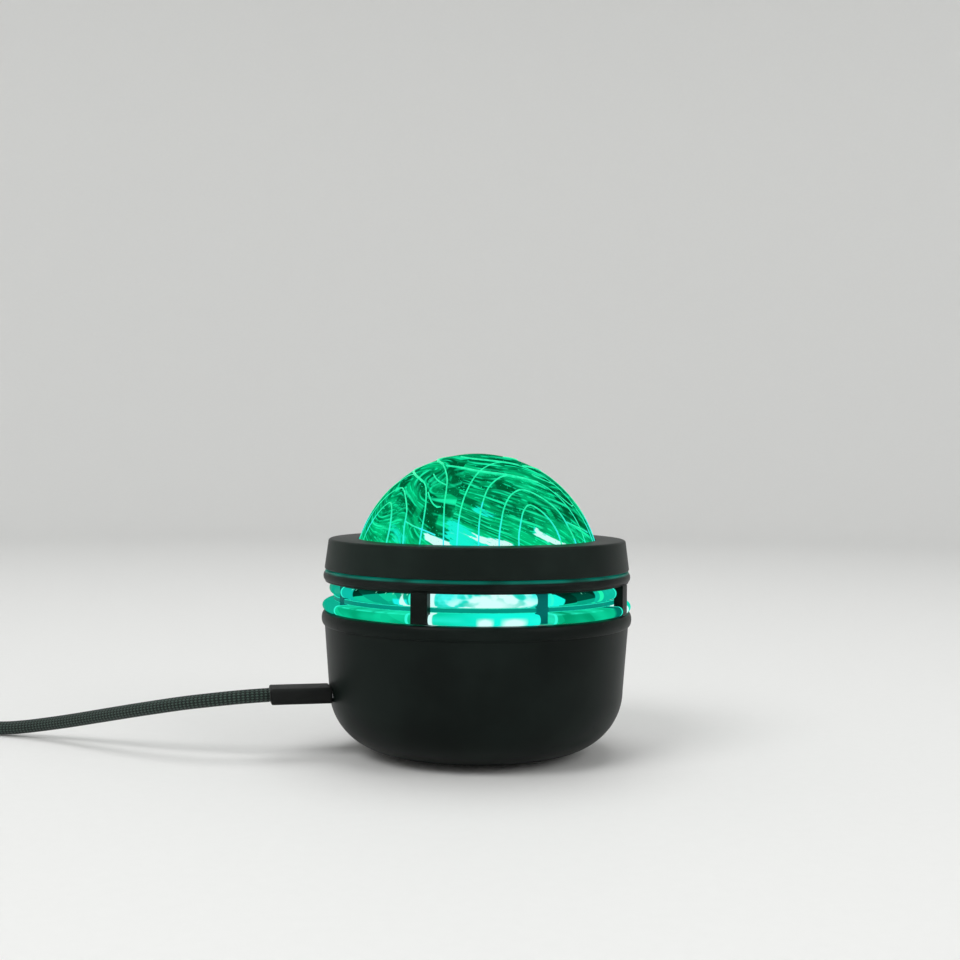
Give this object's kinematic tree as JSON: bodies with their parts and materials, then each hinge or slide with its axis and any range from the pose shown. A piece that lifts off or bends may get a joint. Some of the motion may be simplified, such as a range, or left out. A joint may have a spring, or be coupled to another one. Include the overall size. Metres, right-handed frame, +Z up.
{
  "type": "projector night light",
  "caption": "Round USB night light: black cup base, lit window band, bezel and a turning clear wave dome with moulded arch lines, on a braided cord.",
  "frame": {"origin": "on the table under the dome's axis, at the middle of the base", "axes": "+Z up along the dome's axis, -Y to the front as pictured, the cord leaves towards -X"},
  "size_m": [0.326, 0.0904, 0.0871],
  "materials": {
    "housing_black": "black semi-gloss moulded shell with a fine satin grain",
    "cover_black": "matt black moulded plastic",
    "foot_rubber": "matt black rubber",
    "circuit_board": "green solder mask",
    "lamp_board": "white solder mask",
    "plated_steel": "bright plated steel",
    "screw_steel": "zinc-plated steel",
    "chassis_grey": "dark grey moulded plastic",
    "tray_gloss": "glossy white reflector",
    "clear_acrylic": "clear acrylic, lit green from inside",
    "teal_divider": "dark teal semi-gloss plastic",
    "lamp_lens": "lit lamp, green to cyan-white",
    "braid_dark": "dark diamond braid",
    "plug_black": "matt black overmould",
    "switch_black": "dark contact carrier plastic"
  },
  "bodies": {
    "base": {"lower_housing": "housing_black", "window_cage": "housing_black", "bezel_ring": "housing_black", "base_cover": "cover_black", "rubber_foot_1": "foot_rubber", "rubber_foot_2": "foot_rubber", "rubber_foot_3": "foot_rubber", "rubber_foot_4": "foot_rubber", "main_board": "circuit_board", "led_board": "lamp_board", "usb_socket_shell": "plated_steel", "usb_plug_shell": "plated_steel", "usb_a_shell": "plated_steel", "motor_can": "plated_steel", "motor_gearbox": "plated_steel", "base_screw_1": "screw_steel", "base_screw_2": "screw_steel", "base_screw_3": "screw_steel", "base_screw_4": "screw_steel", "board_screw_1": "screw_steel", "board_screw_2": "screw_steel", "board_screw_3": "screw_steel", "chassis_screw_1": "screw_steel", "chassis_screw_2": "screw_steel", "chassis_screw_3": "screw_steel", "chassis_screw_4": "screw_steel", "motor_screw_1": "screw_steel", "motor_screw_2": "screw_steel", "cage_screw_1": "screw_steel", "cage_screw_2": "screw_steel", "cage_screw_3": "screw_steel", "cage_screw_4": "screw_steel", "chassis_plate": "chassis_grey", "reflector_tray": "tray_gloss", "light_ring": "clear_acrylic", "divider_frame": "teal_divider", "led_1": "lamp_lens", "led_2": "lamp_lens", "led_3": "lamp_lens", "led_4": "lamp_lens", "led_5": "lamp_lens", "led_6": "lamp_lens", "cord_lead": "braid_dark", "cord_coil": "braid_dark", "cord_tail": "braid_dark", "usb_plug_body": "plug_black", "usb_a_body": "plug_black", "usb_socket_tongue": "switch_black", "usb_a_tongue": "switch_black", "mode_switch": "switch_black"},
    "dome": {"motor_shaft": "plated_steel", "dome_carrier": "chassis_grey", "hub_screw": "screw_steel", "wave_dome": "clear_acrylic", "dome_shell": "clear_acrylic"},
    "button": {"mode_button": "cover_black", "switch_plunger": "switch_black"}
  },
  "joints": [
    {"name": "dome_spin", "type": "hinge", "parent": "base", "child": "dome", "pos_m": [0, 0, 0.0507], "axis": [0, 0, 1], "continuous": true},
    {"name": "button_press", "type": "slide", "parent": "base", "child": "button", "axis": [0, -1, 0], "range_m": [0, 0.0006], "stiffness_N_per_m": 1500}
  ]
}
